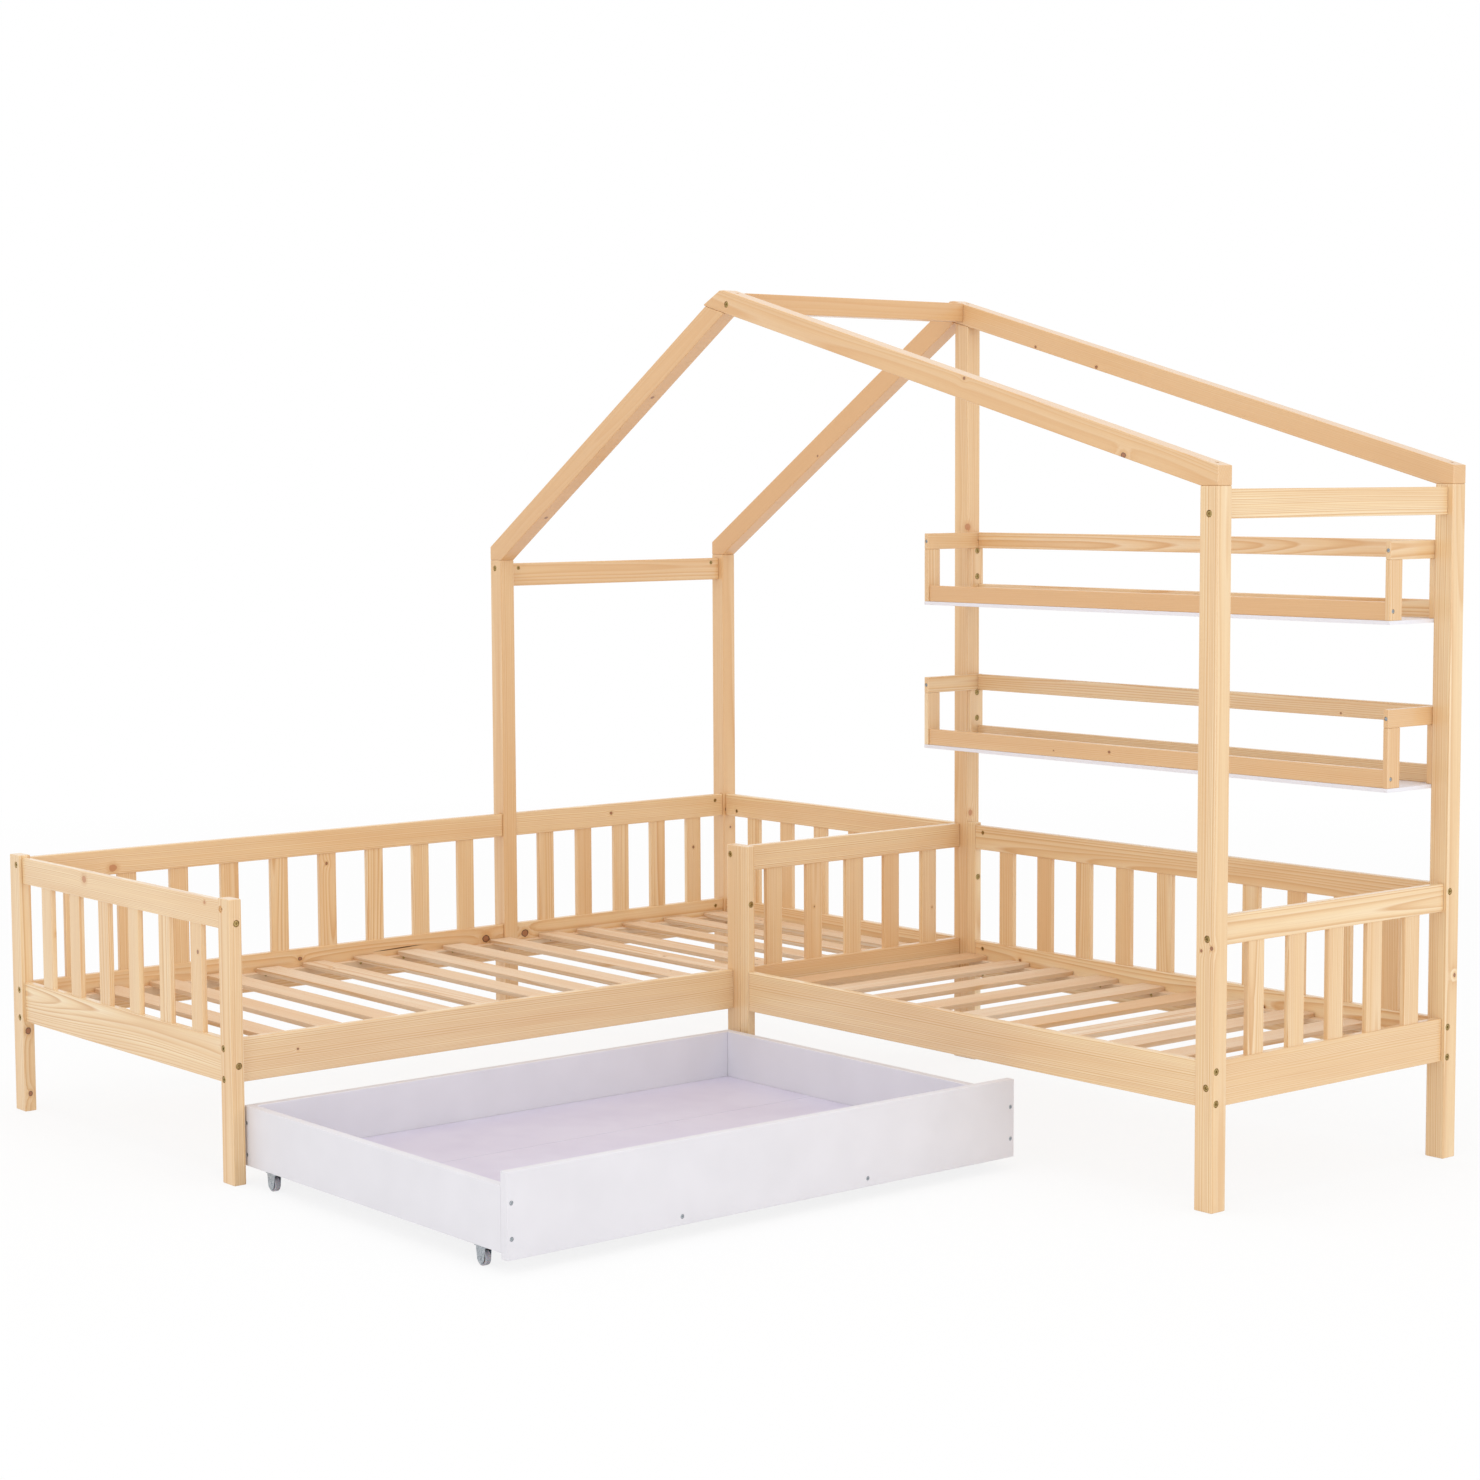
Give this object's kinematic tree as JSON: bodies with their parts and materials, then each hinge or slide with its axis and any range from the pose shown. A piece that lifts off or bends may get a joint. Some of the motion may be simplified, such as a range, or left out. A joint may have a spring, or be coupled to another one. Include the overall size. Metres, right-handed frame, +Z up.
{
  "type": "house bed",
  "caption": "L-shaped pine house bed: long bed and side bed with picket guards, lopsided open roof frame, long wall shelves and a white drawer on castors.",
  "frame": {"origin": "middle of the footprint, on the floor", "axes": "+X along the back wall from the long bed to the end of the side bed, +Y to the back wall, +Z up"},
  "size_m": [2.411, 2.08, 1.8421],
  "materials": {
    "pine_posts": "clear-finished pine, satin",
    "pine_rails": "clear-finished pine, satin",
    "pine_slats": "bare planed pine",
    "white_panel": "white laminated board",
    "white_paint": "white painted board, satin",
    "zinc": "zinc-plated pressed steel",
    "wheel_plastic": "grey moulded plastic"
  },
  "bodies": {
    "frame": {"foot_post_left": "pine_posts", "foot_post_right": "pine_posts", "inner_post": "pine_posts", "wall_post_front": "pine_posts", "wall_post_back": "pine_posts", "middle_post": "pine_posts", "end_post_back": "pine_posts", "end_post_front": "pine_posts", "side_bed_batten_front": "pine_posts", "side_bed_batten_back": "pine_posts", "foot_guard": "pine_rails", "wall_guard_long": "pine_rails", "wall_guard_short": "pine_rails", "head_guard": "pine_rails", "divider_guard": "pine_rails", "back_guard": "pine_rails", "end_guard": "pine_rails", "long_bed_front_rail": "pine_rails", "side_bed_front_rail": "pine_rails", "long_bed_slats_front": "pine_slats", "long_bed_slats_back": "pine_slats", "side_bed_slats": "pine_slats", "front_right_rafter": "pine_rails", "front_left_rafter": "pine_rails", "back_right_rafter": "pine_rails", "back_left_rafter": "pine_rails", "ridge_beam": "pine_rails", "left_eave_beam": "pine_rails", "right_eave_beam": "pine_rails", "upper_shelf_left_end": "pine_rails", "upper_shelf_right_end": "pine_rails", "upper_shelf_back_top_rail": "pine_rails", "upper_shelf_back_low_rail": "pine_rails", "upper_shelf_front_low_rail": "pine_rails", "lower_shelf_left_end": "pine_rails", "lower_shelf_right_end": "pine_rails", "lower_shelf_back_top_rail": "pine_rails", "lower_shelf_back_low_rail": "pine_rails", "lower_shelf_front_low_rail": "pine_rails", "upper_shelf_panel": "white_panel", "lower_shelf_panel": "white_panel"},
    "drawer": {"drawer_front": "white_paint", "drawer_left_side": "white_paint", "drawer_right_side": "white_paint", "drawer_back": "white_paint", "drawer_bottom": "white_paint", "castor_bracket_back_left": "zinc", "castor_bracket_front_left": "zinc", "castor_bracket_back_right": "zinc", "castor_bracket_front_right": "zinc"},
    "wheel_back_left": {"castor_wheel_back_left": "wheel_plastic"},
    "wheel_front_left": {"castor_wheel_front_left": "wheel_plastic"},
    "wheel_back_right": {"castor_wheel_back_right": "wheel_plastic"},
    "wheel_front_right": {"castor_wheel_front_right": "wheel_plastic"}
  },
  "joints": [
    {"name": "drawer_slide", "type": "slide", "parent": "frame", "child": "drawer", "axis": [1, 0, 0], "range_m": [-0.911, 0]},
    {"name": "wheel_spin_back_left", "type": "hinge", "parent": "drawer", "child": "wheel_back_left", "pos_m": [-0.1375, -0.997, 0.015], "axis": [0, 1, 0], "continuous": true},
    {"name": "wheel_spin_front_left", "type": "hinge", "parent": "drawer", "child": "wheel_front_left", "pos_m": [0.6005, -0.997, 0.015], "axis": [0, 1, 0], "continuous": true},
    {"name": "wheel_spin_back_right", "type": "hinge", "parent": "drawer", "child": "wheel_back_right", "pos_m": [-0.1375, 0.251, 0.015], "axis": [0, 1, 0], "continuous": true},
    {"name": "wheel_spin_front_right", "type": "hinge", "parent": "drawer", "child": "wheel_front_right", "pos_m": [0.6005, 0.251, 0.015], "axis": [0, 1, 0], "continuous": true}
  ],
  "couplings": [
    {"joint": "wheel_spin_back_left", "follows": "drawer_slide", "rad_per_m": 66.667},
    {"joint": "wheel_spin_front_left", "follows": "drawer_slide", "rad_per_m": 66.667},
    {"joint": "wheel_spin_back_right", "follows": "drawer_slide", "rad_per_m": 66.667},
    {"joint": "wheel_spin_front_right", "follows": "drawer_slide", "rad_per_m": 66.667}
  ]
}
